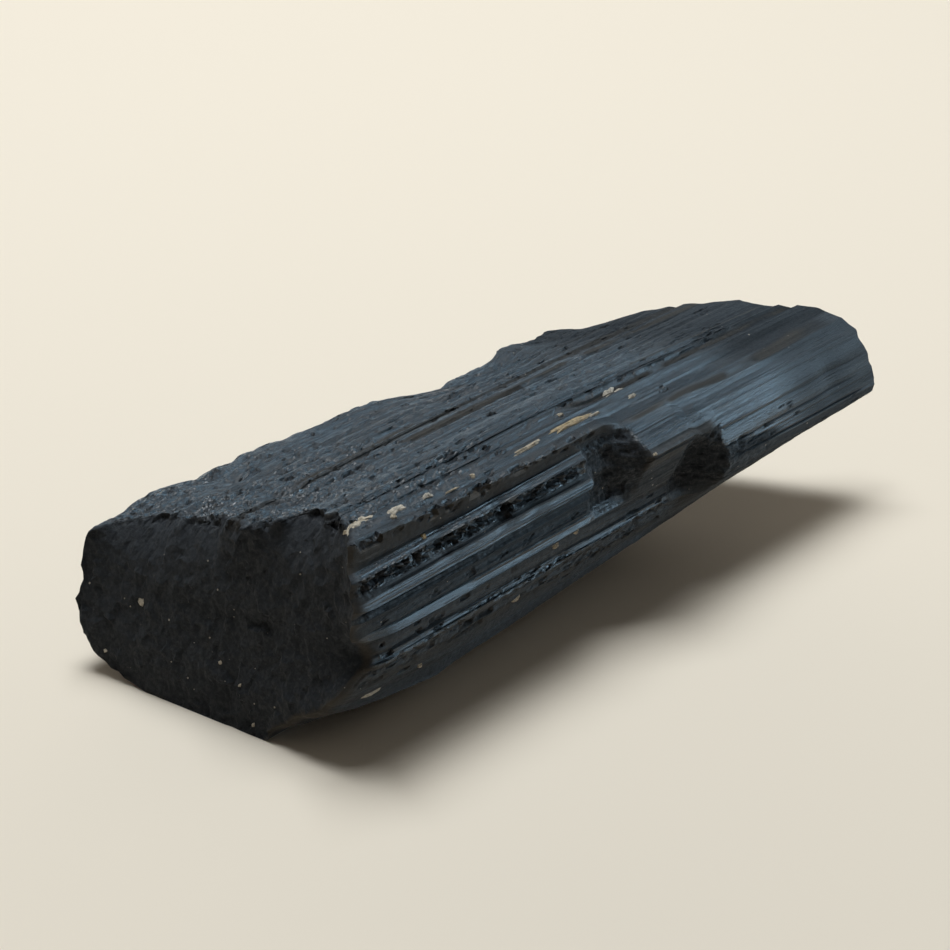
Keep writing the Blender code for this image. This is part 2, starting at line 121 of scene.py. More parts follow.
# Each row: name, x where it starts, x where it ends, the fine ribs and the finish of the strip up
# to the next row (on the flank: before the first notch, between the notches and behind them), and
# its course as points (x, y, z) in mm.
RAILS = [
    ("underside front", 0.0, 92.0, 2, ("rest",),
     [(0, 0, 0), (60, 0, 0), (74, -1, 2.6), (92, -6, 9.5)]),
    ("heel", 0.2, 94.2, 3, ("stained",),
     [(0, -3, 2.5), (20, -5, 0.5), (40, -5, 1.2), (60, -5, 2.8), (76, -6, 5), (94, -10.5, 10.6)]),
    ("low ridge", 0.4, 95.0, 3, ("stained",),
     [(0, -8.1, 6), (6, -8.3, 4.6), (20, -8.2, 2.8), (39, -8, 4.1), (59, -8, 5.1), (76, -9, 7),
      (95, -13, 12)]),
    ("low band", 0.8, 95.6, 2, ("stained",),
     [(0, -10.6, 8.6), (20, -10.5, 7.6), (60, -10.6, 8.2), (76, -11.8, 9.4), (96, -14.5, 12.6)]),
    ("third strip foot", 3.6, 96.0, 1, ("strip", "satin", "dark"),
     flank((-12.1, 11.1), (-11.9, 11.1), (-12.6, 10.2), (-15.2, 12.8), 0, 0.2)),
    ("third strip brow", 4.4, 96.4, 1, ("stained", "groove", "dark"),
     flank((-11.9, 12.1), (-11.8, 11.9), (-14, 11.4), (-15.6, 13), 0, 0.5)),
    ("lower groove", 4.2, 96.6, 1, ("crack", "dark", "dark"),
     flank((-11.5, 13.7), (-11.6, 13.3), (-15, 12.4), (-15.8, 13.2), 0, 0.6)),
    ("second strip foot", 2.2, 96.8, 1, ("strip", "dark", "satin"),
     flank((-13.3, 15.1), (-12.9, 14.8), (-15.8, 13.6), (-16, 13.4), 0.2, 1)),
    ("second strip brow", 0.6, 97.0, 1, ("groove", "dark", "facet"),
     flank((-13.0, 16.1), (-13.2, 16), (-16.1, 15), (-16.1, 14.2), 0.8, 1)),
    ("middle groove", 0.4, 97.0, 1, ("crack", "dark", "facet"),
     flank((-12.6, 17.2), (-13.7, 17), (-16, 15.9), (-15.8, 15.2))),
    ("middle rib", 0.2, 97.0, 1, ("groove", "dark", "facet"),
     flank((-13.3, 18.2), (-14.3, 18), (-15.8, 16.8), (-15.5, 16.2))),
    ("upper crack", 0.2, 96.9, 1, ("crack", "brown", "facet"),
     flank((-12.5, 18.8), (-14.8, 19.1), (-15.5, 17.8), (-15.2, 17.1), 1, 0.8)),
    ("first strip foot", 0.2, 97.0, 1, ("strip", "brown", "facet"),
     flank((-13.6, 19.5), (-15.4, 20.1), (-15.1, 18.8), (-14.9, 18.1), 1, 0.5)),
    ("first strip brow", 0.4, 97.0, 1, ("groove", "stained", "facet"),
     flank((-13.1, 20.5), (-15.7, 20.8), (-14.6, 19.7), (-14.3, 19), 1, 0.1)),
    ("rough band foot", 0.6, 96.9, 1, ("rough", "facet", "facet"),
     flank((-12.5, 21.1), (-14.8, 21.6), (-13.9, 20.6), (-13.6, 19.9), 1, 0)),
    ("rough band brow", 1.0, 96.8, 1, ("strip", "facet", "facet"),
     flank((-12.6, 22.8), (-13.7, 22.4), (-13.1, 21.5), (-12.9, 20.8), 0.9, 0)),
    ("brown band foot", 1.4, 96.7, 1, ("brown", "facet", "facet"),
     flank((-11.2, 23.2), (-12.5, 22.9), (-12.2, 22.2), (-11.9, 21.4), 0.5, 0)),
    ("brown band brow", 1.8, 96.4, 1, ("brown", "facet", "facet"),
     flank((-11.0, 24.1), (-11.6, 23.5), (-11.6, 22.8), (-11.2, 22.1), 0.2, 0)),
    ("front crest", 2.4, 96.2, 3, ("satin",),
     [(0, -10.6, 26.4), (16, -10.9, 25.3), (32, -11.1, 25), (47, -10.9, 24.7), (50, -10.8, 23.9),
      (66, -10.6, 23.5), (95, -8.8, 22.5)]),
    ("crest slope", 4.6, 92.8, 2, ("top",),
     [(0, -8, 26.3), (45, -7.6, 25.8), (66, -7.4, 25.1), (93, -6.8, 23.8)]),
    ("far line", 5.4, 92.6, 1, ("top",),
     [(0, -6.9, 26.5), (44, -6.8, 25.9), (50, -6.7, 25), (66, -6.6, 24.6), (92, -6.4, 23.4)]),
    ("long crack lip", 6.4, 90.6, 1, ("crack",),
     [(0, -5.7, 26.6), (41, -5.7, 26.4), (60, -5.8, 25.7), (91, -5.6, 24.3)]),
    ("long crack", 6.8, 90.3, 1, ("satin",),
     [(0, -5, 25.8), (41, -5, 25.7), (60, -5.1, 25.3), (91, -5, 24)]),
    ("long crack brow", 7.4, 89.0, 3, ("top",),
     [(0, -4.2, 26.3), (41, -4.2, 26.3), (60, -4.4, 25.7), (90, -4.4, 24.3)]),
    ("top middle", 8.2, 89.0, 4, ("top",),
     [(0, 0, 25.0), (45, 0, 24.8), (89, -0.5, 24)]),
    ("top second", 4.0, 87.6, 3, ("top",),
     [(0, 4.4, 23.6), (45, 4, 23.7), (87, 2.8, 23.3)]),
    ("third line brow", 4.8, 86.4, 1, ("stained",),
     [(0, 7.6, 22.7), (45, 7.6, 22.8), (85, 6, 22.7)]),
    ("third line", 5.2, 86.6, 1, ("stained",),
     [(0, 8.4, 21.9), (45, 8.4, 22), (85, 6.8, 22)]),
    ("third line foot", 5.6, 85.6, 4, ("top",),
     [(0, 9.2, 22.2), (45, 9, 22.4), (85, 7.6, 22.2)]),
    ("top fourth", 6.2, 84.4, 4, ("top",),
     [(0, 14, 20.6), (30, 14, 20.8), (45, 13.2, 21.1), (60, 11.8, 21.2), (82, 11, 21)]),
    ("top fifth", 7.4, 81.8, 4, ("top",),
     [(0, 19.4, 19.2), (34, 19.6, 19.1), (48, 18.2, 19.4), (56, 14.8, 19.8), (70, 14.8, 19.9),
      (79, 14.4, 19.6)]),
    ("back shoulder", 7.0, 79.8, 3, ("top",),
     [(0, 24.6, 17.7), (36, 24.4, 17.7), (49, 22, 18), (56, 16.4, 18.9), (66, 17.4, 18.7),
      (70, 18, 19), (77, 17, 18.5)]),
    ("back edge", 3.0, 78.0, 4, ("back",),
     [(0, 28.6, 15.9), (6, 29, 16.3), (36, 27.8, 16.5), (44, 24.8, 17.3), (51, 25, 16.7),
      (55, 19.4, 18.2), (64, 20.4, 18), (68, 21.4, 18.3), (75, 20.4, 17.9)]),
    ("back upper", 2.0, 78.0, 4, ("back",),
     [(0, 29.2, 12), (36, 28.8, 12.4), (50, 26.8, 12.8), (60, 22.4, 13.6), (75, 21.6, 14)]),
    ("back lower", 1.0, 78, 4, ("back",),
     [(0, 29.8, 8), (36, 28.9, 7.8), (50, 27, 8), (62, 23, 8.6), (76, 20.6, 10)]),
    ("back heel", 0.4, 79, 3, ("back",),
     [(0, 28.6, 4), (36, 27.6, 3.6), (50, 25.2, 3.6), (64, 21, 4.4), (78, 17, 7.4)]),
    ("underside back", 0.0, 81.0, 3, ("stained",),
     [(0, 25.6, 1.6), (36, 24.4, 1.2), (50, 21.8, 1.3), (64, 17.4, 2.4), (81, 12.4, 6.6)]),
    ("rest back", 0.0, 85.0, 2, ("rest",),
     [(0, 18, 0), (40, 18, 0), (58, 14.5, 0), (70, 12, 2.6), (85, 7, 6.6)]),
    ("rest middle", 0.0, 89.0, 2, ("rest",),
     [(0, 9, 0), (58, 8, 0), (72, 5.4, 2.5), (89, 0.6, 7.9)]),
]
ROW_NAMES = [row[0] for row in RAILS]
RESTING = ("rest back", "rest middle", "underside front")
SCALLOPED = ("back shoulder", "back edge", "back upper")
FIRST_NOTCHED = ROW_NAMES.index("third strip foot")
LAST_NOTCHED = ROW_NAMES.index("brown band brow")
SEED = Vector((3.7, 11.2, 5.9))
FLANK_COLUMN = 0.15                     # width of one column of faces, mm
TOP_COLUMN = 0.25
BACK_COLUMN = 0.9
CRACK_COLUMN = 0.1
CRACKED = ("lower groove", "middle groove", "upper crack", "rough band brow", "long crack lip",
           "long crack", "third line brow", "third line")
HEART = (7.0, 12.5)                     # (y, z) well inside every section, mm

dice = np.random.default_rng(12)


def spaced(*spans):
    """Stations along X: each span is (from, to, spacing)."""
    stops = [np.arange(low, high, gap) for low, high, gap in spans]
    return np.append(np.concatenate(stops), spans[-1][1])


along = spaced((0, 3, 0.3), (3, 41, 0.5), (41, 51.4, 0.3), (51.4, 57.6, 0.5), (57.6, 66, 0.32),
               (66, 94, 0.9), (94, LENGTH, 0.4))


def wander(x, run, salt):
    """A wandering value about zero along X, the same one as in the solid."""
    coarse = noise.noise(Vector((x / run, salt, 0)) + SEED)
    fine = noise.noise(Vector((x / run * 2.6, salt, 4)) + SEED)
    return coarse + 0.5 * fine


def course_of(row):
    """Arrays x, y, z of one row's course, its ragged edge and its notch stagger included."""
    name, *_, points = RAILS[row]
    xs, ys, zs = (np.array([point[axis] for point in points], float) for axis in range(3))
    if FIRST_NOTCHED <= row <= LAST_NOTCHED:
        xs[1:-1] -= NOTCH_STAGGER * noise.noise(Vector((row * 0.9, 1, 7)) + SEED)
    if name in SCALLOPED:
        fine_x = np.arange(0, LENGTH + 0.5, 0.5)
        ys = np.interp(fine_x, xs, ys) + [EDGE_SCALLOP * wander(x, 7.5, 1) for x in fine_x]
        zs = np.interp(fine_x, xs, zs) + [0.4 * EDGE_SCALLOP * wander(x, 7.5, 2) for x in fine_x]
        xs = fine_x
    return xs, ys, zs


def smooth(share):
    """A share held between 0 and 1, and eased at both ends."""
    share = np.clip(share, 0, 1)
    return share * share * (3 - 2 * share)


def between(value, low, high, rise, fall=None):
    """1 where a value lies well between two others, eased to 0 at each over a run."""
    return smooth((value - low) / rise) * smooth((high - value) / (fall or rise))


def value_noise(across, x, size_across, size_x):
    """Soft random values about zero on the skin, with cells of the given sizes in mm."""
    u = across / size_across
    v = x / size_x
    cells = dice.random((int(u.max()) + 3, int(v.max()) + 3)) - 0.5
    iu, iv = np.floor(u).astype(int), np.floor(v).astype(int)
    fu, fv = smooth(u - iu), smooth(v - iv)
    low = cells[iu, iv] * (1 - fv) + cells[iu, iv + 1] * fv
    high = cells[iu + 1, iv] * (1 - fv) + cells[iu + 1, iv + 1] * fv
    return low * (1 - fu) + high * fu


# The columns of faces round the section: the row that each belongs to and its share of the way to
# the next row.
courses = [course_of(row) for row in range(len(RAILS))]
column_row, column_share = [], []
widths = []
for row, (xs, ys, zs) in enumerate(courses):
    next_xs, next_ys, next_zs = courses[(row + 1) % len(RAILS)]
    width = math.hypot(np.interp(30, xs, ys) - np.interp(30, next_xs, next_ys),
                       np.interp(30, xs, zs) - np.interp(30, next_xs, next_zs))
    if RAILS[row][0] in CRACKED:
        column_width = CRACK_COLUMN
    elif ROW_NAMES.index("heel") <= row < ROW_NAMES.index("front crest"):
        column_width = FLANK_COLUMN
    elif ROW_NAMES.index("front crest") <= row <= ROW_NAMES.index("back shoulder"):
        column_width = TOP_COLUMN
    else:
        column_width = BACK_COLUMN
    count = max(2, round(width / column_width))
    for step in range(count):
        column_row.append(row)
        column_share.append(step / count)
        widths.append(width / count)
column_row = np.array(column_row)
column_share = np.array(column_share)
arc = np.concatenate([[0], np.cumsum(widths)[:-1]])       # mm round the section
next_row = (column_row + 1) % len(RAILS)

# Where the skin starts and ends on each column: the rows' own ends, with a ragged edge.
TOP_RAGGED, FLANK_RAGGED, REST_RAGGED, FAR_RAGGED = 1.8, 0.6, 0.25, 0.7     # mm
starts = np.array([row[1] for row in RAILS])
ends = np.array([row[2] for row in RAILS])
zero = np.zeros_like(arc)
start = starts[column_row] * (1 - column_share) + starts[next_row] * column_share
end = ends[column_row] * (1 - column_share) + ends[next_row] * column_share
ragged = value_noise(arc, zero, 1.9, 1) + 0.6 * value_noise(arc, zero, 0.7, 1)
on_rest = np.isin(column_row, [ROW_NAMES.index(name) for name in RESTING])
on_top = (column_row >= ROW_NAMES.index("front crest")) & (
    column_row < ROW_NAMES.index("back shoulder"))
raggedness = np.where(on_top, TOP_RAGGED, np.where(on_rest, REST_RAGGED, FLANK_RAGGED))
start = np.clip(start + raggedness * ragged, 0, None)
end = np.clip(end + FAR_RAGGED * value_noise(arc, zero, 1.6, 1), None, LENGTH)

stations, columns = np.meshgrid(along, arc, indexing="ij")
skin_x = stations + start * np.clip(1 - stations / NEAR_TAPER, 0, None)
squeeze = (stations - FAR_TAPER) * (end - FAR_TAPER) / (LENGTH - FAR_TAPER)
skin_x = np.where(stations > FAR_TAPER, FAR_TAPER + squeeze, skin_x)


def patchy(size_across, size_x):
    """Soft random values about zero all over the skin."""
    return value_noise(columns, skin_x, size_across, size_x)


# The notch edges wander from column to column as well as from row to row.
NOTCH_WANDER = 0.9
flank_jitter = NOTCH_WANDER * value_noise(columns, stations * 0, 0.8, 1)
flank_jitter *= between(stations, 36, 70, 4)
skin_y = np.zeros_like(skin_x)
skin_z = np.zeros_like(skin_x)
for row, (xs, ys, zs) in enumerate(courses):
    weight = (column_row == row) * (1 - column_share) + (next_row == row) * column_share
    used = np.flatnonzero(weight)
    jitter = flank_jitter[:, used] if FIRST_NOTCHED <= row <= LAST_NOTCHED else 0
    at = skin_x[:, used] + jitter
    skin_y[:, used] += weight[used] * np.interp(at, xs, ys)
    skin_z[:, used] += weight[used] * np.interp(at, xs, zs)

# The finish over the skin, and how far each place lies in a notch.
finish = np.zeros((3, *skin_x.shape))
notch = np.zeros_like(skin_x)
for row, (_, _, _, _, names, points) in enumerate(RAILS):
    here = np.flatnonzero(column_row == row)
    kinds = [FINISHES[kind] for kind in (names if len(names) == 3 else names * 3)]
    past_one = smooth((skin_x[:, here] - STEP_ONE[2]) / (STEP_ONE[3] - STEP_ONE[2]))
    past_two = smooth((skin_x[:, here] - STEP_TWO[2]) / (STEP_TWO[3] - STEP_TWO[2]))
    for channel in range(3):
        value = kinds[0][channel] * (1 - past_one) + kinds[1][channel] * past_one
        finish[channel][:, here] = value * (1 - past_two) + kinds[2][channel] * past_two
    if FIRST_NOTCHED <= row <= LAST_NOTCHED:
        for (brow, _, _, far_brow), at_brow in ((STEP_ONE, 1), (STEP_TWO, 5)):
            deep = (points[at_brow + 1][1] - points[at_brow][1]) / NOTCH_DEPTH
            at = skin_x[:, here] + flank_jitter[:, here]
            window = between(at, brow - 0.4, far_brow + 0.2, 0.9)
            notch[:, here] = np.maximum(notch[:, here], window * min(1, deep * 1.6))
polish, grit, rust = finish

# Fine ribs and scratches, each a long narrow strip that stands out or sinks in.  The notches have
# none, and the far half only low ones.
HAIR_RIBS = 520
relief = np.zeros_like(skin_x)
total_arc = arc[-1] + widths[-1]
for _ in range(HAIR_RIBS):
    middle = dice.uniform(0, total_arc)
    width = dice.uniform(0.25, 1.3) if dice.random() < 0.6 else dice.uniform(0.2, 0.4)
    height = dice.choice([-1, 1]) * dice.uniform(0.03, 0.13)
    low = dice.uniform(-30, 90)
    high = low + dice.uniform(12, 90)
    drift = dice.uniform(-0.35, 0.35)
    near_it = np.flatnonzero(np.abs(arc - middle) < width + 0.6)
    if len(near_it) == 0:
        continue
    offset = np.abs(arc[near_it] - middle - drift * (stations[:, near_it] / LENGTH - 0.5))
    ridge = smooth((width / 2 - offset) / 0.1 + 0.5)
    relief[:, near_it] += height * ridge * between(stations[:, near_it], low, high, 2.5)
relief *= (1 - notch) * (1 - 0.5 * smooth((stations - 56) / 20))


def chips(count, arc_range, x_range, across, lengths, depths, edge=0.1):
    """Blocky chips out of the skin, scattered over a stretch of it."""
    for _ in range(count):
        middle = dice.uniform(*arc_range)
        place = dice.uniform(*x_range)
        half_across = dice.uniform(*across) / 2
        half_along = dice.uniform(*lengths) / 2
        depth = dice.uniform(*depths)
        near_it = np.flatnonzero(np.abs(arc - middle) < half_across + 0.6)
        lean = dice.uniform(-0.6, 0.6)
        away_across = np.abs(arc[near_it] - middle) + 0 * stations[:, near_it]
        away_along = np.abs(skin_x[:, near_it] - place + lean * (arc[near_it] - middle))
        hole = smooth((half_across - away_across) / edge + 0.5)
        hole *= smooth((half_along - away_along) / (2 * edge) + 0.5)
        relief[:, near_it] -= depth * hole
        polish[:, near_it] *= 1 - 0.7 * hole
        grit[:, near_it] = np.maximum(grit[:, near_it], 0.9 * hole)


def arc_at(name):
    """Where a row runs, in mm round the section."""
    return arc[np.flatnonzero(column_row == ROW_NAMES.index(name))[0]]


def blocks(arc_range, x_range, across, length, depth, share, edge=0.4):
    """A stretch of the skin broken into small blocks, each sunk and tilted by its own amount."""
    low, high = arc_range
    near_it = np.flatnonzero((arc > low - edge) & (arc < high + edge))
    place = skin_x[:, near_it]
    within = between(arc[near_it], low - edge / 2, high + edge / 2, edge)
    within = within * between(place, *x_range, 1.5)
    area = (high - low) * (x_range[1] - x_range[0])
    count = int(area / (across * length))
    spots = dice.uniform((low, x_range[0]), (high, x_range[1]), (count, 2))
    sunk = depth * dice.random(count) ** 1.5 * (dice.random(count) < share)
    tilt = dice.uniform(-0.35, 0.35, (count, 2))
    flat_arc = np.broadcast_to(arc[near_it], place.shape).ravel()
    flat_x = place.ravel()
    owner = np.empty(flat_x.size, int)
    for start_at in range(0, flat_x.size, 2000):        # a few at a time, to spare memory
        span = slice(start_at, start_at + 2000)
        away = np.hypot((flat_arc[span, None] - spots[:, 0]) / across,
                        (flat_x[span, None] - spots[:, 1]) / length)
        owner[span] = away.argmin(axis=1)
    slope = ((flat_arc - spots[owner, 0]) * tilt[owner, 0]
             + (flat_x - spots[owner, 1]) * tilt[owner, 1] * across / length)
    sink = (sunk[owner] - 0.5 * slope).reshape(place.shape) * within
    relief[:, near_it] -= sink
    polish[:, near_it] *= 1 - 0.5 * np.clip(sink / depth, 0, 1)
    grit[:, near_it] = np.maximum(grit[:, near_it], np.clip(sink / depth, 0, 1) * within)


# Where the skin is broken into blocks: the granular band along the flank twice, coarse and fine,
# then the notch walls, the crest, the lower ribs and the top.
rough_low, rough_high = arc_at("rough band foot"), arc_at("rough band brow")
crest = arc_at("front crest")
top_end = arc_at("back edge")
blocks((rough_low + 0.1, rough_high), (1, 41.5), 0.4, 0.6, 0.85, 0.8, 0.15)
blocks((rough_low + 0.1, rough_high), (1, 41.5), 0.22, 0.4, 0.3, 0.6, 0.15)
blocks((arc_at("second strip brow"), crest - 1.5), (43, 50), 0.5, 0.6, 0.5, 0.7)
blocks((arc_at("lower groove"), arc_at("first strip foot")), (59.4, 65.2), 0.5, 0.6, 0.5, 0.7)
blocks((arc_at("second strip brow"), arc_at("middle rib") + 0.4), (65, 73), 0.4, 0.8, 0.4, 0.6)
blocks((crest - 0.5, crest + 0.5), (2, 47), 0.35, 0.8, 0.35, 0.4)
blocks((arc_at("low band") + 0.3, arc_at("third strip foot") + 0.2), (2, 60), 0.5, 1.0, 0.35, 0.5)
blocks((arc_at("third strip foot"), arc_at("third strip brow")), (20, 41), 0.35, 1.1, 0.25, 0.35)
blocks((arc_at("second strip brow") + 0.3, arc_at("middle groove")), (2, 41), 0.3, 1.2, 0.2, 0.3)
blocks((crest + 3, top_end), (4, 34), 0.7, 1.1, 0.22, 0.4)
blocks((crest + 4, top_end), (34, 80), 0.6, 1.8, 0.16, 0.25)

# The back is a torn surface: soft swells of three sizes, rough in patches.
back_low, back_high = arc_at("back edge"), arc_at("underside back")
at_back = between(arc, back_low - 0.75, back_high + 0.75, 1.5)
relief += at_back * (0.9 * patchy(4.2, 6.0) + 0.7 * patchy(2.0, 2.6) + 0.35 * patchy(1.0, 1.3))
grit += at_back * np.clip(0.3 + 1.2 * patchy(3.0, 4.0), 0, 0.7)

# Chips: scattered along the band and the crest first, then the large ones in their places.
chips(24, (rough_low, rough_high), (1.5, 41.5), (0.25, 0.8), (0.4, 1.5), (0.2, 0.7), 0.06)
chips(10, (crest - 0.8, crest + 0.4), (2, 47), (0.3, 0.8), (0.4, 1.6), (0.15, 0.45))
HAIR = 0.01                             # the play left to a chip that has its place
CREST_CHIPS = ((5.5, 3.4, 0.5), (16.4, 1.3, 0.9), (18.6, 0.9, 0.5), (23.4, 1.9, 1.0),
               (25.6, 0.8, 0.6), (31.0, 2.0, 0.5))                  # x, length and depth
BAND_CHIPS = ((23.1, 0.7, 1.7, 1.0), (27.8, 0.5, 1.4, 0.8), (11.4, 0.7, 1.2, 0.7),
              (15.6, 0.5, 1.0, 0.7), (4.6, 0.6, 1.3, 0.6), (36.0, 0.6, 1.6, 0.5))
for place, length, depth in CREST_CHIPS:
    chips(1, (crest - 0.1, crest + 0.1), (place, place + HAIR), (1.3, 1.4),
          (length, length + HAIR), (depth, depth + HAIR))
for place, reach, length, depth in BAND_CHIPS:          # reach: its share of the way up the band
    middle = rough_low + reach * (rough_high - rough_low)
    chips(1, (middle, middle + HAIR), (place, place + HAIR), (1.0, 1.2), (length, length + HAIR),
          (depth, depth + HAIR))

# Fissures along the ribs: row, mm past it, from x to x, width and depth.
FISSURES = [
    ("long crack", -0.05, 4, 56, 0.13, 0.8), ("far line", 0.05, 8, 30, 0.10, 0.25),
    ("third line", 0.0, 6, 88, 0.12, 0.35), ("upper crack", 0.15, 1, 43, 0.13, 0.5),
    ("middle groove", 0.3, 1, 43, 0.12, 0.4), ("first strip brow", 0.25, 4, 43, 0.11, 0.45),
    ("rough band foot", 0.5, 10, 40, 0.10, 0.3), ("second strip brow", 0.1, 2, 43, 0.10, 0.25),
    ("lower groove", 0.9, 3, 56, 0.12, 0.4), ("third strip brow", 0.15, 3, 58, 0.10, 0.3),
    ("third strip foot", 0.2, 3, 40, 0.10, 0.25), ("brown band foot", 0.1, 3, 41, 0.10, 0.3),
    ("top middle", 2.0, 12, 70, 0.10, 0.2), ("top fourth", 1.5, 10, 66, 0.10, 0.2),
    ("middle rib", 0.2, 62, 94, 0.10, 0.2), ("second strip brow", 0.3, 66, 95, 0.10, 0.25),
    ("crest slope", 0.2, 50, 90, 0.10, 0.2), ("top second", 1.2, 30, 84, 0.10, 0.2),
]
for name, past, low, high, width, depth in FISSURES:
    line = arc_at(name) + past + 0.25 * value_noise(stations[:, :1], stations[:, :1], 200, 11)
    cut = np.exp(-((arc - line) / width) ** 2)
    cut = cut * between(skin_x, low, high, 3, 5) * (1 - notch)
    relief -= depth * cut
    polish *= 1 - 0.9 * cut

# Brown iron lines: row, mm past it, half width, from x to x.
STREAKS = [
    ("third line brow", -1.6, 0.5, 30, 90), ("far line", 0.3, 0.3, 44, 93),
    ("long crack brow", 0.3, 0.2, 54, 90), ("front crest", -0.5, 0.35, 49, 95),
    ("top fourth", -1.5, 0.6, 12, 42), ("third line foot", 1.0, 0.6, 16, 40),
    ("low band", 0.2, 0.8, 2, 60),
]
for name, past, half_width, low, high in STREAKS:
    line = arc_at(name) + past + 0.6 * value_noise(stations[:, :1], stations[:, :1], 200, 9)
    cover = smooth((half_width - np.abs(arc - line)) / 0.5 + 0.5)
    cover = cover * between(skin_x, low, high, 4) * smooth(1.1 + 2.4 * patchy(1.0, 4.5))
    rust[:] = np.maximum(rust, 0.95 * cover)
    polish *= 1 - 0.9 * cover

# Short cross-breaks beside the long crack, and scattered chips on the top and the flank.
cross_low = arc_at("long crack brow") + 0.4
blocks((cross_low, cross_low + 1.9), (9, 23), 1.0, 0.42, 0.35, 0.5)
chips(60, (crest, top_end), (5, 30), (0.25, 1.0), (0.3, 1.6), (0.08, 0.35), 0.07)
chips(34, (crest, top_end), (20, 88), (0.2, 0.7), (0.5, 2.2), (0.05, 0.2), 0.07)
chips(30, (arc_at("low band") - 1, arc_at("lower groove")), (3, 60), (0.3, 0.8), (0.5, 2.4),
      (0.08, 0.4))
chips(14, (arc_at("lower groove"), arc_at("first strip foot")), (66, 94), (0.25, 0.7),
      (0.5, 1.6), (0.1, 0.25))

# The fine ribs of the solid, and its pits.
FINE_RIB = 0.34
FINE_RIB_RUN = 22.0
FINE_RIB_FADE = 9.0
fade = np.clip((LENGTH - along) / FINE_RIB_FADE, 0, 1)
fluting = np.zeros_like(skin_x)
for row, (_, _, _, ribs, _, _) in enumerate(RAILS):
    here = np.flatnonzero(column_row == row)
    after = (row + 1) % len(RAILS)
    stand = []
    for rib in range(ribs + 1):
        on_row, index = (row, rib) if rib < ribs else (after, 0)
        still = RAILS[on_row][0] in RESTING and (index == 0 or RAILS[after][0] in RESTING)
        turn = 0 if still else (-1 if index % 2 else 0.5)
        stand.append([FINE_RIB * turn * (0.7 + 0.9 * noise.noise(
            Vector((x / FINE_RIB_RUN, on_row * 1.7, index)) + SEED)) for x in along])
    stand = np.array(stand).T * fade[:, None]
    place = column_share[here] * ribs
    for j, column in enumerate(here):
        low = min(int(place[j]), ribs - 1)
        part = place[j] - low
        fluting[:, column] = stand[:, low] * (1 - part) + stand[:, low + 1] * part

PITS = [                                # x, y, z, radius and depth of each pit, mm
    (26, -12.6, 22, 2.2, 0.9), (31.5, -12.6, 21.7, 1.8, 0.7), (16, -12.6, 22.4, 2, 0.7),
    (2.6, -12.4, 13.6, 3, 1.3), (24, -2.6, 25.8, 2.2, 0.6), (12, 3.6, 23.8, 2.4, 0.8),
    (14.8, 9.8, 22, 2.2, 0.7), (9, 17.6, 19.8, 2.2, 0.7), (20, 22, 18.4, 2.4, 0.8),
    (48, 15, 20.4, 2.6, 0.8), (63, 12, 21.2, 2.4, 0.6), (88, -13.6, 17.5, 2.4, 0.7),
    (34, 28.5, 10, 4, 1.1), (14, 28.5, 9, 3.4, 0.9), (58, 21.5, 11, 3.6, 0.9),
]
out_y, out_z = skin_y - HEART[0], skin_z - HEART[1]
from_heart = np.hypot(out_y, out_z)
pitting = np.zeros_like(skin_x)
for x, y, z, radius, deep in PITS:
    away = ((skin_x - x) ** 2 + (skin_y - y) ** 2 + (skin_z - z) ** 2) / radius ** 2
    pitting += deep * np.exp(-away)
behind = column_row >= ROW_NAMES.index("back shoulder")
fluting *= (1 - 0.8 * behind * np.exp(-stations / 3)) * (1 - 0.7 * notch)
skin_y += out_y / from_heart * (fluting - pitting)
skin_z += out_z / from_heart * (fluting - pitting)

# The finer relief goes along the skin's own normal.  It runs out at the far rim and on the rest,
# and the near rim is worn.
FLANK_WEAR, TOP_WEAR = 0.6, 0.2
skin = np.stack([skin_x, skin_y, skin_z], axis=-1)
normal = np.cross(np.gradient(skin, axis=0),
                  np.roll(skin, -1, axis=1) - np.roll(skin, 1, axis=1))
normal /= np.linalg.norm(normal, axis=-1, keepdims=True) + 1e-9
far_fade = np.clip((LENGTH - stations) / 5, 0, 1)
near_fade = 0.35 + 0.65 * smooth(stations / 2)
on_flank = (normal[..., 1] < -0.3) & (normal[..., 2] < 0.75)
worn = np.where(on_flank, FLANK_WEAR, TOP_WEAR) * np.exp(-stations / 0.6)
relief = relief * far_fade * near_fade - worn * far_fade
resting = (skin_z < 0.9) & (normal[..., 2] < -0.5)

# Knobs on the back's near rim.
KNOB, KNOB_SINK, KNOB_RUN = 1.1, 0.35, 3.0
knobs = value_noise(arc, zero, 2.6, 1) + 0.25 * value_noise(arc, zero, 1.1, 1)
at_near_back = (column_row >= ROW_NAMES.index("back edge")) & ~on_rest
relief += at_near_back * (KNOB * knobs - KNOB_SINK) * np.exp(-stations / KNOB_RUN)

# Scallops broken out of the top's near rim: y of the middle, width, length along X and depth.
RIM_SCALLOPS = [(20.5, 1.6, 1.5, 0.5), (14.2, 2.4, 2.6, 0.7), (8.6, 1.2, 1.2, 0.5),
                (4.4, 1.0, 1.6, 0.4), (-1.2, 1.4, 2.0, 0.6), (-4.4, 2.0, 3.4, 0.7)]
top_side = (normal[..., 2] > 0.5) & (skin_y > -7.2)
for y, half_width, length, depth in RIM_SCALLOPS:
    ragged = 0.5 * patchy(0.5, 0.6)
    reach = length * np.clip(1 - ((skin_y - y) / half_width) ** 2, 0, 1) ** 0.5
    hollow = smooth((reach - stations) / 1.1 + ragged) * top_side * (reach > 0)
    relief -= depth * hollow
    grit = np.maximum(grit, hollow)
    polish *= 1 - hollow
relief[resting] = 0
grit[resting] = 0
skin += normal * relief[..., None]

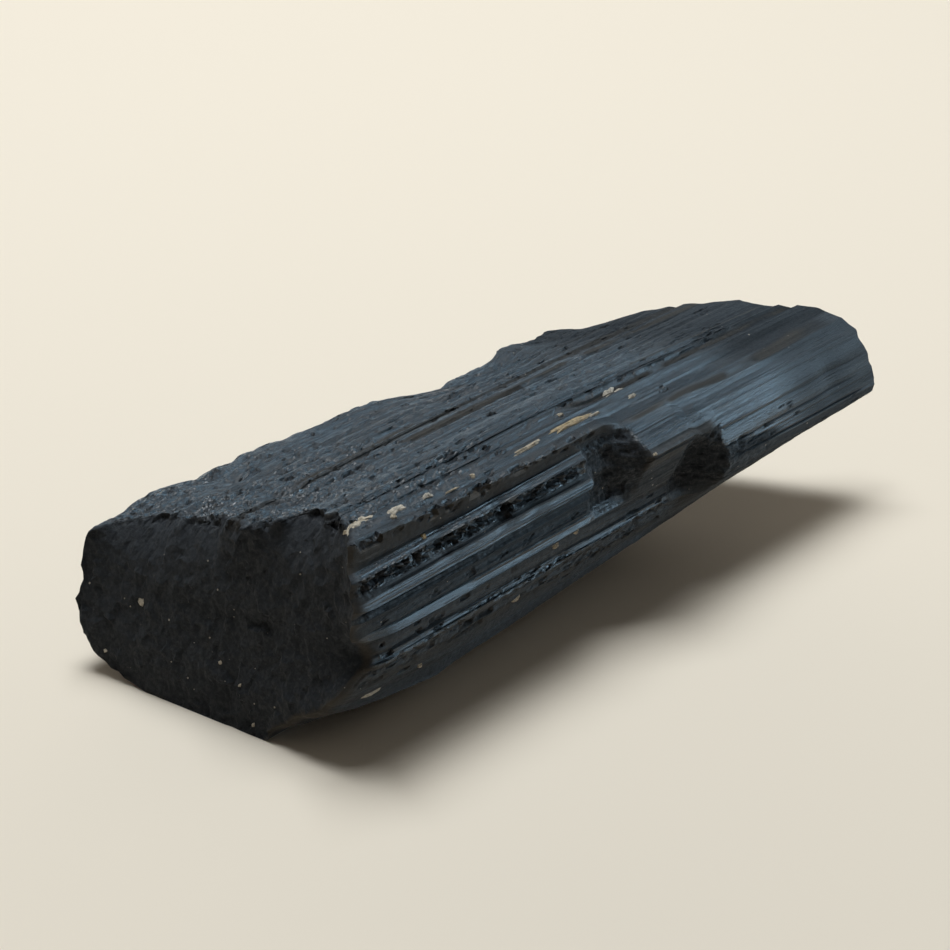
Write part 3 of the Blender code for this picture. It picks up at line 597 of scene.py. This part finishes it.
# The near rim of the flank is worn round, and so are the walls of the notches.
RIM_ROUND = 0.8
gap = (arc[:, None] - arc[None, :] + total_arc / 2) % total_arc - total_arc / 2
blend = np.exp(-(gap / RIM_ROUND) ** 2) * np.array(widths)
blend /= blend.sum(axis=1, keepdims=True)
rounded = between(arc, arc_at("low ridge"), crest - 0.3, 2, 0.6)
rounded = np.maximum(rounded * np.exp(-(stations / 1.6) ** 2), 0.75 * notch)
skin += rounded[..., None] * (np.einsum("ij,kjl->kil", blend, skin) - skin)
rust += 0.8 * np.exp(-stations / 1.6) * on_flank
polish *= smooth((stations + 0.3) / 3.4)

# Rough, pitted patches on the near part of the top.
up = smooth((normal[..., 2] - 0.6) / 0.3)
patch = patchy(5.0, 9.0) + 0.5 * patchy(2.0, 4.0)
grit += up * smooth((36 - skin_x) / 24) * np.clip(0.45 + 1.4 * patch, 0, 0.9)
# The flank is dull and dark for a way past the second notch.
dull_high = arc_at("middle rib") + 0.5 - 0.12 * (skin_x - 66)
past_notch = between(skin_x, 63.5, 78, 1.5, 7)
past_notch *= between(arc, arc_at("third strip brow"), dull_high, 0.4, 0.5)
polish *= 1 - 0.9 * past_notch
grit = np.maximum(grit, 0.6 * past_notch)
# Brown films here and there, and brown all along the lower edge of the far half.
film = patchy(2.4, 14.0) + 0.5 * patchy(0.9, 5.0)
rust += np.clip(0.5 * film - 0.08, 0, 0.25)
edge_high = arc_at("third strip foot") + 0.2 + 1.2 * smooth((skin_x - 76) / 16)
low_edge = smooth((skin_x - 58) / 8) * smooth((edge_high - arc) / 0.6)
low_edge = low_edge * (arc > arc_at("underside front"))
rust += 0.8 * low_edge
polish *= 1 - 0.8 * low_edge
# The notches are granular all over, and the polish runs out towards the far end.
grit = np.clip(np.maximum(grit, 0.8 * notch), 0, 1)
polish = np.clip(polish - 1.2 * notch - 0.85 * smooth((skin_x - 62) / 24), 0, 1)
rust = np.clip(rust * (1 - notch), 0, 1)

# The two end breaks: uneven granular facets about a leaning plane.
NEAR_LEAN = 0.2
BREAK_RELIEF = 1.0
BREAK_GRAIN = 2.3
BREAK_POINTS = 0.5                      # spacing of the points on a break, mm
FACET_AREA = 2.2                        # of one small flat facet, mm2
FACET_TILT, FACET_SINK = 0.22, 0.07
BREAK_GRIT, FAR_BREAK_RUST = 0.38, 0.2


def break_points(rim, plane, salt):
    """The points that close one end inside its rim."""
    low, high = rim[:, 1:].min(axis=0), rim[:, 1:].max(axis=0)
    ys, zs = np.meshgrid(np.arange(low[0], high[0], BREAK_POINTS),
                         np.arange(low[1], high[1], BREAK_POINTS))
    ys = (ys + 0.5 * BREAK_POINTS * (np.arange(len(ys)) % 2)[:, None]).ravel()
    zs = zs.ravel()
    ys += dice.uniform(-0.4, 0.4, ys.size) * BREAK_POINTS
    zs += dice.uniform(-0.4, 0.4, zs.size) * BREAK_POINTS
    within = np.zeros(ys.size, bool)
    for here, after in zip(rim, np.roll(rim, -1, axis=0)):
        crosses = (here[2] > zs) != (after[2] > zs)
        if abs(after[2] - here[2]) > 1e-9:
            at = (after[1] - here[1]) * (zs - here[2]) / (after[2] - here[2]) + here[1]
            within ^= crosses & (ys < at)
    gaps = np.hypot(ys[:, None] - rim[None, :, 1], zs[:, None] - rim[None, :, 2])
    away = gaps.min(axis=1)
    keep = within & (away > 0.45 * BREAK_POINTS)
    ys, zs, away, gaps = ys[keep], zs[keep], away[keep], gaps[keep]
    share = np.exp(-(gaps / (1.3 * away[:, None] + 0.2)) ** 2) + 1e-12
    edge = (share * (rim[:, 0] - plane(rim[:, 1], rim[:, 2]))).sum(axis=1) / share.sum(axis=1)
    lumps = np.array([wander(y, 7, salt + 2) + wander(z, 6, salt + 3) for y, z in zip(ys, zs)])
    xs = plane(ys, zs) + edge * np.exp(-away / BREAK_GRAIN) + 0.4 * BREAK_RELIEF * lumps
    # Small flat facets, each with its own tilt, lie over the lumps.
    spots = dice.uniform(low, high, (int(np.prod(high - low) / FACET_AREA), 2))
    tilt = dice.uniform(-FACET_TILT, FACET_TILT, spots.shape)
    sink = dice.uniform(-FACET_SINK, FACET_SINK, len(spots))
    owner = np.hypot(ys[:, None] - spots[:, 0], zs[:, None] - spots[:, 1]).argmin(axis=1)
    facet = (ys - spots[owner, 0]) * tilt[owner, 0] + (zs - spots[owner, 1]) * tilt[owner, 1]
    xs += (facet + sink[owner]) * smooth(away / 0.8)
    return np.stack([xs, ys, zs], axis=-1)


near_rim, far_rim = skin[0], skin[-1]
far_front = far_rim[far_rim[:, 1].argmin()]
far_back = far_rim[far_rim[:, 1].argmax()]
far_slope = (far_back[0] - far_front[0]) / (far_back[1] - far_front[1])
near_points = break_points(near_rim, lambda y, z: NEAR_LEAN * z, 10)
far_points = break_points(far_rim, lambda y, z: far_front[0] + far_slope * (y - far_front[1]), 20)

rounds, count = skin.shape[:2]
verts = np.concatenate([skin.reshape(-1, 3), near_points, far_points])
quads = np.arange(rounds * count).reshape(rounds, count)
after = np.roll(quads, -1, axis=1)
faces = np.stack([quads[:-1], quads[1:], after[1:], after[:-1]], axis=-1).reshape(-1, 4).tolist()
extra = []


def close_break(rim_start, inner_start, inner, outward):
    """Faces from the rim's verts to the break's points; outward is +1 or -1 along X."""
    rim = verts[rim_start:rim_start + count]
    flat = [Vector(point) for point in np.concatenate([rim, inner])[:, 1:]]
    edges = [(index, (index + 1) % count) for index in range(count)]
    places, _, triangles, origins, _, _ = geometry.delaunay_2d_cdt(flat, edges, [], 1, 1e-6)
    numbers = []
    for place, origin in zip(places, origins):
        if origin:
            first = origin[0]
            numbers.append(rim_start + first if first < count else inner_start + first - count)
        else:
            away = np.hypot(rim[:, 1] - place.x, rim[:, 2] - place.y)
            numbers.append(len(verts) + len(extra))
            extra.append((rim[away.argmin(), 0], place.x, place.y))
    for triangle in triangles:
        face = [numbers[index] for index in triangle]
        if len(set(face)) == 3:
            faces.append(face if outward > 0 else face[::-1])


close_break(0, rounds * count, near_points, -1)
close_break((rounds - 1) * count, rounds * count + len(near_points), far_points, 1)
verts = np.concatenate([verts, np.array(extra).reshape(-1, 3)])
breaks = len(verts) - rounds * count
near_break = np.arange(breaks) < len(near_points)
looks = {"polish": np.append(polish.ravel(), np.full(breaks, 0.0)),
         "grit": np.append(grit.ravel(), np.full(breaks, BREAK_GRIT)),
         "rust": np.append(rust.ravel(), np.where(near_break, 0.0, FAR_BREAK_RUST))}

skin_mesh = bpy.data.meshes.new("tourmaline crystal")
skin_mesh.from_pydata(((verts - (LENGTH / 2, CENTRE_Y, 0)) * MM).tolist(), [], faces)
for name, values in looks.items():
    layer = skin_mesh.attributes.new(name, "FLOAT", "POINT")
    layer.data.foreach_set("value", np.clip(values, 0, 1).astype(np.float32))
crystal = add_object("tourmaline_crystal_skin", skin_mesh)


# Black tourmaline: glassy on the intact strips, dull and granular where it broke, with a brown
# iron film in the grooves.  First, what builds the node trees.


def node(tree, kind, sockets=None, **settings):
    """Add a node, set its fields, and fill its sockets with values or with other nodes' outputs."""
    made = tree.nodes.new(kind)
    for field, value in settings.items():
        setattr(made, field, value)
    for socket, value in (sockets or {}).items():
        if isinstance(value, bpy.types.NodeSocket):
            tree.links.new(value, made.inputs[socket])
        else:
            made.inputs[socket].default_value = value
    return made


def calc(tree, operation, *parts, kind="ShaderNodeMath", **settings):
    """The output of a math node or, where the kind says so, of a vector math node."""
    made = node(tree, kind, dict(enumerate(parts)), operation=operation, **settings)
    return made.outputs["Value" if operation == "DOT_PRODUCT" else 0]


def remap(tree, value, from_low, from_high, to_low=0.0, to_high=1.0):
    """A value's place between two others, as a value between two new ones."""
    return node(tree, "ShaderNodeMapRange",
                {0: value, 1: from_low, 2: from_high, 3: to_low, 4: to_high}).outputs[0]


def mix(tree, share, colour, other):
    """One colour turned into the other by a share; each is a colour or another node's output."""
    return node(tree, "ShaderNodeMix", {0: share, 6: colour, 7: other}, data_type="RGBA").outputs[2]


def material(name):
    """A material of this name, its node tree and its shader."""
    made = bpy.data.materials.new(name)
    made.use_nodes = True
    return made, made.node_tree, made.node_tree.nodes["Principled BSDF"]


def group_tree(name, kind, inputs, outputs):
    """A node group with its sockets declared, its group input's outputs and its group output."""
    tree = bpy.data.node_groups.new(name, kind)
    for socket, socket_type, default in inputs:
        made = tree.interface.new_socket(socket, in_out="INPUT", socket_type=socket_type)
        if default is not None:
            made.default_value = default
    for socket, socket_type in outputs:
        tree.interface.new_socket(socket, in_out="OUTPUT", socket_type=socket_type)
    return tree, tree.nodes.new("NodeGroupInput").outputs, tree.nodes.new("NodeGroupOutput")


# Broken stone: small flat facets, each tilted its own way, with a cloudy mottle, rare specks and
# thin pale needles.
FLOAT, VECTOR_MATH = "NodeSocketFloat", "ShaderNodeVectorMath"
stone, given, stone_out = group_tree(
    "broken stone", "ShaderNodeTree",
    [("Position", "NodeSocketVector", None), ("Facet Size", FLOAT, 0.6)],
    [("Facets", FLOAT), ("Mottle", FLOAT), ("Specks", FLOAT), ("Needles", FLOAT)])
per_facet = calc(stone, "DIVIDE", 1.0, given["Facet Size"])
squat = calc(stone, "MULTIPLY", given["Position"], (0.6, 1.0, 1.0), kind=VECTOR_MATH)
facet_heights = []
for finer, share in ((1.0, 1.0), (2.7, 0.6)):
    cells = node(stone, "ShaderNodeTexVoronoi",
                 {"Vector": squat, "Scale": calc(stone, "MULTIPLY", per_facet, finer)})
    tilt = calc(stone, "SUBTRACT", cells.outputs["Color"], (0.5, 0.5, 0.5), kind=VECTOR_MATH)
    local = calc(stone, "SUBTRACT", squat, cells.outputs["Position"], kind=VECTOR_MATH)
    rise = calc(stone, "DOT_PRODUCT", tilt, local, kind=VECTOR_MATH)
    facet_heights.append(calc(stone, "MULTIPLY", rise, share))
facets = calc(stone, "ADD", *facet_heights)
mottle = node(stone, "ShaderNodeTexNoise", {"Vector": given["Position"], "Scale": per_facet,
                                            "Detail": 5.0, "Roughness": 0.7})
dots = node(stone, "ShaderNodeTexVoronoi", {"Vector": given["Position"], "Scale": 0.9})
dot_size = node(stone, "ShaderNodeSeparateColor", {0: dots.outputs["Color"]}).outputs[0]
specks = calc(stone, "LESS_THAN", dots.outputs["Distance"],
              remap(stone, dot_size, 0.6, 1.0, 0.0, 0.12))
bend = node(stone, "ShaderNodeTexNoise", {"Vector": given["Position"], "Scale": 0.9,
                                          "Detail": 2.0})
bent = calc(stone, "MULTIPLY_ADD", bend.outputs["Color"], (1.6, 1.6, 1.6), given["Position"],
            kind=VECTOR_MATH)
web = node(stone, "ShaderNodeTexVoronoi", {"Vector": bent, "Scale": 0.8},
           feature="DISTANCE_TO_EDGE")
bits = node(stone, "ShaderNodeTexNoise", {"Vector": given["Position"], "Scale": 1.7,
                                          "Detail": 1.0})
needles = calc(stone, "MULTIPLY", remap(stone, web.outputs["Distance"], 0.035, 0.01),
               remap(stone, bits.outputs[0], 0.54, 0.62))
for name, value in (("Facets", facets), ("Mottle", remap(stone, mottle.outputs[0], 0.36, 0.66)),
                    ("Specks", specks), ("Needles", needles)):
    stone.links.new(value, stone_out.inputs[name])


def broken_stone(tree, facet_size):
    """Places on the object in mm, and the outputs of the broken stone pattern there."""
    in_mm = calc(tree, "MULTIPLY", node(tree, "ShaderNodeTexCoord").outputs["Object"],
                 (1000, 1000, 1000), kind=VECTOR_MATH)
    return in_mm, node(tree, "ShaderNodeGroup", {"Position": in_mm, "Facet Size": facet_size},
                       node_tree=stone).outputs


STEP_WIDTH = 0.62                       # growth steps across a polished strip, mm
STEP_LEAN = 0.16
# The stone's own near-black and its grey dust, both tinted blue as a painted cool sheen.
BLACK_AND_PAINTED_SHEEN = (0.0060, 0.0088, 0.0130, 1)
DUST_AND_PAINTED_SHEEN = (0.016, 0.020, 0.025, 1)
BROWN = (0.046, 0.037, 0.026, 1)
SPECK = (0.40, 0.36, 0.30, 1)
tourmaline, tree, shader = material("black tourmaline")
shader.inputs["IOR"].default_value = 1.56
in_mm, broken = broken_stone(tree, 0.5)
polish_at, grit_at, rust_at = (
    node(tree, "ShaderNodeAttribute", attribute_name=name).outputs["Fac"]
    for name in ("polish", "grit", "rust"))

# Striae: hair-fine grooves along X, some of them cut as small steps, in broad bands.
striae = node(tree, "ShaderNodeTexNoise", {
    "Vector": calc(tree, "MULTIPLY", in_mm, (0.012, 3.2, 3.2), kind=VECTOR_MATH),
    "Scale": 1.0, "Detail": 5.0, "Roughness": 0.7}).outputs[0]
striae_height = calc(tree, "ADD", striae, calc(tree, "SNAP", striae, 0.09))
bands = node(tree, "ShaderNodeTexNoise", {
    "Vector": calc(tree, "MULTIPLY", in_mm, (0.006, 0.7, 0.7), kind=VECTOR_MATH),
    "Scale": 1.0, "Detail": 2.0, "Roughness": 0.5}).outputs[0]
banded = remap(tree, bands, 0.35, 0.65)

# Colour: black, dusty where it is granular, filmed brown by iron, specked where it is rough; the
# black and the dust carry a blue tint that is painted cool sheen.
dusty_and_painted_sheen = mix(tree, calc(tree, "MULTIPLY", grit_at, broken["Mottle"]), BLACK_AND_PAINTED_SHEEN, DUST_AND_PAINTED_SHEEN)
film = calc(tree, "MULTIPLY", broken["Mottle"], banded)
film = calc(tree, "MULTIPLY", calc(tree, "MULTIPLY_ADD", film, 0.4, 0.6), rust_at)
stained = mix(tree, film, dusty_and_painted_sheen, BROWN)
marks = calc(tree, "MULTIPLY_ADD", broken["Needles"], 0.05, broken["Specks"])
marks = calc(tree, "MULTIPLY", marks, remap(tree, polish_at, 0.3, 0.0, 0.0, 0.7), use_clamp=True)
colour = mix(tree, marks, stained, SPECK)

# Roughness: low on the polished strips, high in the grooves, on iron and where it is granular.
roughness = remap(tree, polish_at, 0.0, 0.45, 0.85, 0.36)
for value, share in ((polish_at, -0.12), (banded, 0.12), (remap(tree, striae, 0.44, 0.34), 0.2),
                     (rust_at, 0.35)):
    roughness = calc(tree, "MULTIPLY_ADD", value, share, roughness)
glint = remap(tree, broken["Mottle"], 0.0, 1.0, 0.3, -0.3)
roughness = calc(tree, "MULTIPLY_ADD", glint, grit_at, roughness, use_clamp=True)

# Relief too fine for the mesh, in mm.  On the polished strips it has growth steps: each leans up a
# little and ends in a fine dark line.
facet_relief = calc(tree, "MULTIPLY", broken["Facets"],
                    calc(tree, "MULTIPLY_ADD", grit_at, 0.85, 0.05))
lines = calc(tree, "MULTIPLY_ADD", striae_height, remap(tree, grit_at, 0.0, 0.7, 0.09, 0.0),
             facet_relief)
up_z = node(tree, "ShaderNodeSeparateXYZ", {0: in_mm}).outputs["Z"]
tread = calc(tree, "MODULO", calc(tree, "MULTIPLY_ADD", bands, 1.6, up_z), STEP_WIDTH)
height = calc(tree, "MULTIPLY_ADD", calc(tree, "MULTIPLY", tread, -STEP_LEAN),
              remap(tree, polish_at, 0.4, 0.9), lines)
bump = node(tree, "ShaderNodeBump", {"Strength": 1.0, "Distance": MM, "Height": height})
for socket, value in (("Base Color", colour), ("Roughness", roughness),
                      ("Normal", bump.outputs["Normal"])):
    tree.links.new(value, shader.inputs[socket])

# The granular surface itself: grains and hollows that follow the skin where it is gritty.
granular, given, granular_out = group_tree(
    "granular relief", "GeometryNodeTree",
    [("Geometry", "NodeSocketGeometry", None), ("Grain Size", FLOAT, 1.0), ("Depth", FLOAT, 0.3),
     ("Seed", FLOAT, 4.0), ("Material", "NodeSocketMaterial", None)],
    [("Geometry", "NodeSocketGeometry")])
spread = {"Vector": node(granular, "GeometryNodeInputPosition").outputs[0],
          "Scale": calc(granular, "DIVIDE", 1.0, given["Grain Size"]), "W": given["Seed"]}
grain_noise = node(granular, "ShaderNodeTexNoise",
                   {**spread, "Detail": 3.0, "Roughness": 0.65}, noise_dimensions="4D")
grain_cells = node(granular, "ShaderNodeTexVoronoi", spread, voronoi_dimensions="4D")
rise = calc(granular, "SUBTRACT", calc(granular, "ADD", grain_noise.outputs[0],
                                       grain_cells.outputs["Distance"]), 1.05)
gritty = node(granular, "GeometryNodeInputNamedAttribute", {"Name": "grit"}, data_type="FLOAT")
rise = calc(granular, "MULTIPLY", rise,
            calc(granular, "MULTIPLY", gritty.outputs[0], given["Depth"]))
facing = node(granular, "GeometryNodeInputNormal").outputs[0]
offset = node(granular, VECTOR_MATH, {0: facing, 3: rise}, operation="SCALE").outputs[0]
moved = node(granular, "GeometryNodeSetPosition",
             {"Geometry": given["Geometry"], "Offset": offset}).outputs[0]
real = node(granular, "GeometryNodeRealizeInstances", {0: moved}).outputs[0]
dressed = node(granular, "GeometryNodeSetMaterial",
               {"Geometry": real, "Material": given["Material"]}).outputs[0]
granular.links.new(dressed, granular_out.inputs[0])


def bake(thing, tree, **values):
    """Run a geometry node group over an object and keep the result as its mesh."""
    modifier = thing.modifiers.new(tree.name, "NODES")
    modifier.node_group = tree
    for item in tree.interface.items_tree:
        key = item.name.replace(" ", "_").lower()
        if item.in_out == "INPUT" and key in values:
            modifier[item.identifier] = values[key]
    thing.update_tag()
    seen = thing.evaluated_get(bpy.context.evaluated_depsgraph_get())
    thing.data = bpy.data.meshes.new_from_object(seen, preserve_all_data_layers=True,
                                                 depsgraph=bpy.context.evaluated_depsgraph_get())
    thing.modifiers.clear()


bake(crystal, granular, grain_size=0.8 * MM, depth=0.36 * MM, seed=4.0, material=tourmaline)
shape = np.empty(len(crystal.data.vertices) * 3, np.float32)
crystal.data.vertices.foreach_get("co", shape)
shape = np.clip(shape.reshape(-1, 3), np.array(cad_low), np.array(cad_high))
crystal.data.vertices.foreach_set("co", shape.ravel())
crystal.data.update()

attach(crystal, "root")
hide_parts("tourmaline_crystal")

# ---- The pale flecks -----------------------------------------------------------------------------
# Thin crusts of a cream and yellowish mineral that stuck to the ribs and the rims; each follows the
# skin beneath it and runs along X.
FLECK_THICKNESS = 0.28
# x, y, z of each crust's middle, its length along X, its width, and how yellow it is.
FLECKS = [
    (7.2, -7.7, 26.0, 4.6, 1.5, 0.25), (12.7, -8.7, 26.1, 2.9, 1.0, 0.1),
    (11.4, -9.3, 26.0, 1.0, 0.7, 0.3), (17.5, -8.9, 25.9, 1.7, 0.7, 0.0),
    (25.1, -9.2, 25.7, 0.8, 0.7, 0.3), (34.9, -9.1, 25.5, 5.4, 0.6, 0.35),
    (43.4, -8.8, 25.5, 7.6, 0.85, 0.75), (48.0, -9.0, 25.2, 2.2, 0.5, 0.1),
    (43.9, -7.0, 25.9, 0.9, 0.6, 0.3), (53.6, -6.6, 25.1, 2.4, 1.3, -0.2),
    (55.2, -6.9, 25.0, 1.4, 0.8, -0.2), (55.4, -8.8, 24.9, 1.6, 0.5, 0.1),
    (36.9, -11.9, 13.4, 1.1, 0.8, 0.4), (38.9, -13.0, 15.0, 0.7, 0.5, 0.3),
    (30.7, -10.7, 8.8, 1.7, 0.8, 0.4), (7.4, -9.0, 5.9, 3.4, 0.8, 0.1),
    (14.7, -10.0, 6.6, 0.7, 0.5, 0.3), (14.1, -11.2, 23.2, 0.9, 0.8, 0.9),
    (50.6, -15.6, 20.9, 0.7, 0.4, 0.2), (21.0, -9.6, 25.6, 2.4, 0.3, 0.4),
    (2.1, 20.3, 9.9, 0.9, 0.9, 0.0), (0.3, 24.4, 3.1, 0.5, 0.5, 0.1),
    (1.2, 7.6, 6.8, 0.5, 0.5, 0.2), (0.5, 1.9, 1.2, 0.5, 0.5, 0.2),
    (0.8, 4.2, 5.2, 0.4, 0.5, 0.2),
]
FLECK_RINGS, FLECK_SIDES = 3, 14
host = BVHTree.FromPolygons([tuple(vert.co) for vert in crystal.data.vertices],
                            [tuple(face.vertices) for face in crystal.data.polygons])
fleck_verts, fleck_faces, fleck_yellow = [], [], []
for x, y, z, length, width, yellow in FLECKS:
    centre = Vector((x - LENGTH / 2, y - CENTRE_Y, z)) * MM
    centre, upward, _, _ = host.find_nearest(centre)
    run = Vector((1, 0, 0)) - upward * upward.x
    if run.length < 0.5:
        run = Vector((0, 1, 0)) - upward * upward.y
    run.normalize()
    across = upward.cross(run)
    first = len(fleck_verts)
    salt = dice.uniform(0, 50)
    for ring in range(FLECK_RINGS + 1):
        out = ring / FLECK_RINGS
        for side in range(FLECK_SIDES if ring else 1):
            turn = 2 * math.pi * side / FLECK_SIDES
            way = Vector((math.cos(turn) * 1.6, math.sin(turn) * 1.6, salt))
            wobble = 1 + 0.75 * noise.noise(way)
            corner = max(abs(math.cos(turn)), abs(math.sin(turn))) ** -0.7
            flat_x = out * wobble * corner * math.cos(turn) * length / 2
            flat_y = out * wobble * corner * math.sin(turn) * width / 2
            spot = centre + (run * flat_x + across * flat_y) * MM
            found, skin_up, _, _ = host.find_nearest(spot)
            rise = FLECK_THICKNESS * (1 - out ** 3) * (0.7 + dice.uniform(0, 0.6)) - 0.06
            fleck_verts.append(found + skin_up * rise * MM)
            fleck_yellow.append(yellow)
    for side in range(FLECK_SIDES):
        after_side = (side + 1) % FLECK_SIDES
        fleck_faces.append((first, first + 1 + side, first + 1 + after_side))
        for ring in range(FLECK_RINGS - 1):
            low = first + 1 + ring * FLECK_SIDES
            high = low + FLECK_SIDES
            fleck_faces.append((low + side, high + side, high + after_side, low + after_side))
fleck_verts = np.clip(np.array(fleck_verts), np.array(cad_low), np.array(cad_high))
fleck_mesh = bpy.data.meshes.new("pale flecks")
fleck_mesh.from_pydata(fleck_verts.tolist(), [], fleck_faces)
layer = fleck_mesh.attributes.new("yellow", "FLOAT", "POINT")
layer.data.foreach_set("value", np.array(fleck_yellow, np.float32))

CREAM = (0.66, 0.60, 0.50, 1)
OCHRE = (0.44, 0.30, 0.10, 1)
DIRT = (0.10, 0.085, 0.065, 1)
chalky, tree, shader = material("pale mineral")
shader.inputs["Roughness"].default_value = 0.75
_, crumbs = broken_stone(tree, 0.4)
yellow_at = node(tree, "ShaderNodeAttribute", attribute_name="yellow").outputs["Fac"]
dirty = mix(tree, calc(tree, "MULTIPLY", crumbs["Mottle"], 0.7),
            mix(tree, yellow_at, CREAM, OCHRE), DIRT)
bump = node(tree, "ShaderNodeBump", {"Strength": 1.0, "Distance": 0.4 * MM,
                                     "Height": crumbs["Facets"]})
tree.links.new(dirty, shader.inputs["Base Color"])
tree.links.new(bump.outputs["Normal"], shader.inputs["Normal"])
fleck_mesh.materials.append(chalky)
flecks = add_object("pale_flecks", fleck_mesh)
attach(flecks, "root")

# ---- The floor -----------------------------------------------------------------------------------
# A plain pale surface under the crystal.
FLOOR_HALF = 1.5
floor_mesh = bpy.data.meshes.new("floor")
floor_mesh.from_pydata([(-FLOOR_HALF, -FLOOR_HALF, 0), (FLOOR_HALF, -FLOOR_HALF, 0),
                        (FLOOR_HALF, FLOOR_HALF, 0), (-FLOOR_HALF, FLOOR_HALF, 0)], [],
                       [(0, 1, 2, 3)])
floor_paint, _, shader = material("floor")
shader.inputs["Base Color"].default_value = (0.83, 0.74, 0.62, 1)
shader.inputs["Roughness"].default_value = 0.9
shader.inputs["Specular IOR Level"].default_value = 0.1
floor_mesh.materials.append(floor_paint)
floor = add_object("floor", floor_mesh)

# ---- The light -----------------------------------------------------------------------------------
# A large soft light almost overhead, weak ones low at the back and the side that reach under the
# raised far end, and cool windows that only the polished stone mirrors.


def soft_panel(name, place, width, height, power, colour, mirrored=True, lights=True):
    """A rectangular light at place that faces the crystal; it is mirrored, lights, or both."""
    data = bpy.data.lights.new(name, "AREA")
    data.shape = "RECTANGLE"
    data.size = width
    data.size_y = height
    data.energy = power
    data.color = colour
    panel = add_object(name, data)
    panel.location = place
    panel.rotation_euler = (-Vector(place)).to_track_quat("-Z", "Y").to_euler()
    panel.visible_camera = False
    panel.visible_diffuse = lights
    panel.visible_glossy = mirrored


soft_panel("overhead", (0.12, 0.18, 0.79), 0.45, 0.45, 6.8, (0.90, 0.96, 1.0))
soft_panel("back fill", (0.50, 0.72, 0.17), 1.0, 0.3, 2.7, (1.0, 0.94, 0.84), mirrored=False)
soft_panel("side fill", (0.75, -0.25, 0.18), 0.5, 0.3, 0.6, (1.0, 0.93, 0.80), mirrored=False)
soft_panel("window", (0.78, -0.46, 0.24), 0.9, 0.5, 7.4, (0.50, 0.77, 1.0), lights=False)
soft_panel("far window", (0.62, 0.72, 0.17), 1.2, 0.3, 1.4, (0.40, 0.72, 1.0), lights=False)
soft_panel("high window", (0.70, -0.06, 0.62), 0.7, 0.5, 1.2, (0.45, 0.75, 1.0), lights=False)
world = bpy.data.worlds.new("soft sky")
world.use_nodes = True
sky = world.node_tree.nodes["Background"].inputs
sky["Color"].default_value = (1.0, 0.94, 0.84, 1)
sky["Strength"].default_value = 0.088
bpy.context.scene.world = world
bpy.context.scene.view_settings.view_transform = "Standard"
